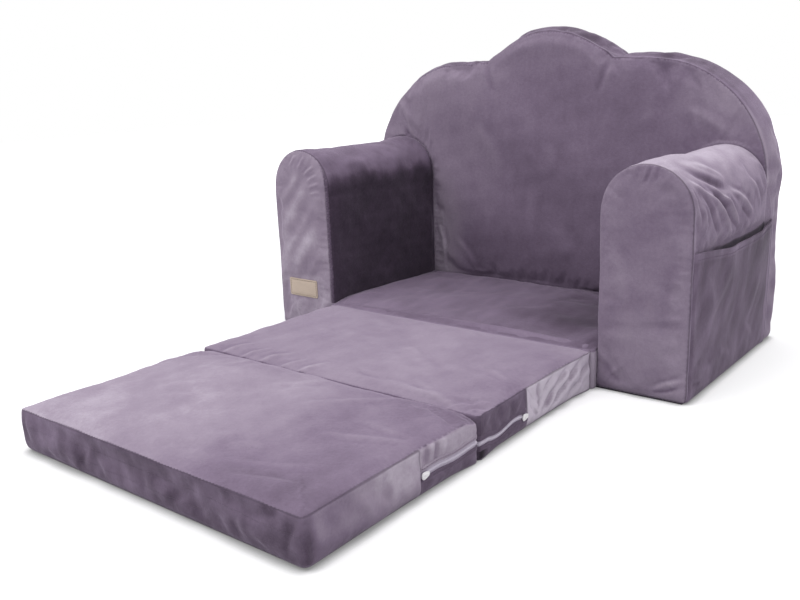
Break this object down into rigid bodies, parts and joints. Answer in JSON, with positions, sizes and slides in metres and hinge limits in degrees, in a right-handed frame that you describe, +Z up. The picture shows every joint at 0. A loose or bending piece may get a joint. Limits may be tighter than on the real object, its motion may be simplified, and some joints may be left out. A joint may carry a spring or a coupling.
{
  "type": "kids flip open sofa",
  "caption": "Children's foam sofa with a scalloped back, rounded arms, a side pocket and a two-slab mattress that folds out of the seat.",
  "frame": {"origin": "on the floor under the middle of the folded sofa's body, on the underside of its base panel", "axes": "+X to the right as seen from the front, +Y towards the backrest, +Z up; the mattress is folded out towards -Y"},
  "size_m": [0.7802, 0.9755, 0.514],
  "materials": {
    "foam": "matte",
    "velour": "matte",
    "lining": "matte",
    "zip_tape": "matte",
    "zip_slider": "satin",
    "label_patch": "matte"
  },
  "bodies": {
    "sofa_body": {"back_foam_core": "foam", "back_gusset": "velour", "back_front_panel": "velour", "back_rear_panel": "velour", "back_rear_lower_panel": "velour", "back_zip_chain": "zip_tape", "arm_foam_core_right": "foam", "arm_front_panel_right": "velour", "arm_wrap_panel_right": "velour", "arm_side_flap_right": "velour", "arm_foam_core_left": "foam", "arm_front_panel_left": "velour", "arm_wrap_panel_left": "velour", "arm_side_flap_left": "velour", "pocket_panel_right": "velour", "arm_label_patch": "label_patch", "seat_foam_core": "foam", "seat_top_panel": "velour", "seat_front_panel": "velour", "seat_front_roll": "velour", "base_panel": "lining"},
    "middle_slab": {"middle_foam_core": "foam", "middle_top_panel": "velour", "middle_bottom_panel": "lining", "middle_side_band": "velour", "middle_zip_upper_strip": "velour", "middle_zip_lower_strip": "velour", "middle_zip_chain": "zip_tape"},
    "end_slab": {"end_foam_core": "foam", "end_top_panel": "velour", "end_bottom_panel": "lining", "end_side_band": "velour", "end_zip_upper_strip": "velour", "end_zip_lower_strip": "velour", "end_zip_chain": "zip_tape"},
    "back_slider": {"back_zip_slider": "zip_slider"},
    "middle_slider": {"middle_zip_slider": "zip_slider"},
    "end_slider": {"end_zip_slider": "zip_slider"}
  },
  "joints": [
    {"name": "seat_fold", "type": "hinge", "parent": "sofa_body", "child": "middle_slab", "pos_m": [0, -0.199, 0.06115], "axis": [-1, 0, 0], "range_deg": [0, 180]},
    {"name": "mattress_fold", "type": "hinge", "parent": "middle_slab", "child": "end_slab", "pos_m": [0, -0.49, -0.00015], "axis": [1, 0, 0], "range_deg": [0, 180]},
    {"name": "back_zip", "type": "slide", "parent": "sofa_body", "child": "back_slider", "axis": [-1, 0, 0], "range_m": [0, 0.72]},
    {"name": "middle_zip", "type": "slide", "parent": "middle_slab", "child": "middle_slider", "axis": [0, -1, 0], "range_m": [0, 0.086]},
    {"name": "end_zip", "type": "slide", "parent": "end_slab", "child": "end_slider", "axis": [0, 1, 0], "range_m": [0, 0.086]}
  ],
  "couplings": [
    {"joint": "mattress_fold", "follows": "seat_fold", "ratio": 1}
  ]
}
